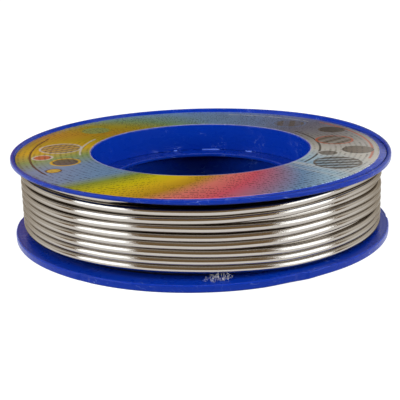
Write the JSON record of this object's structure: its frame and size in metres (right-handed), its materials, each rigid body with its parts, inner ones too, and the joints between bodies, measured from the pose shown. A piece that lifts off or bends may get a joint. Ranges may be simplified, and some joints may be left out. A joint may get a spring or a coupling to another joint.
{
  "type": "solder wire spool",
  "caption": "Flat two-part plastic spool with a wide bore, a printed flange label and a full winding of flux-cored solder wire.",
  "frame": {"origin": "centre of the foot plane of the lower rim, on the spool's axis", "axes": "+Z along the spool's axis, towards the labelled flange; -Y towards the user"},
  "size_m": [0.08, 0.08, 0.0175],
  "materials": {
    "spool_plastic": "satin",
    "label_film": "satin",
    "solder_wire": "bright"
  },
  "bodies": {
    "root": {"spool_upper_half": "spool_plastic", "spool_lower_half": "spool_plastic", "top_label": "label_film", "solder_inner_layers": "solder_wire", "solder_outer_layer": "solder_wire"}
  },
  "joints": []
}
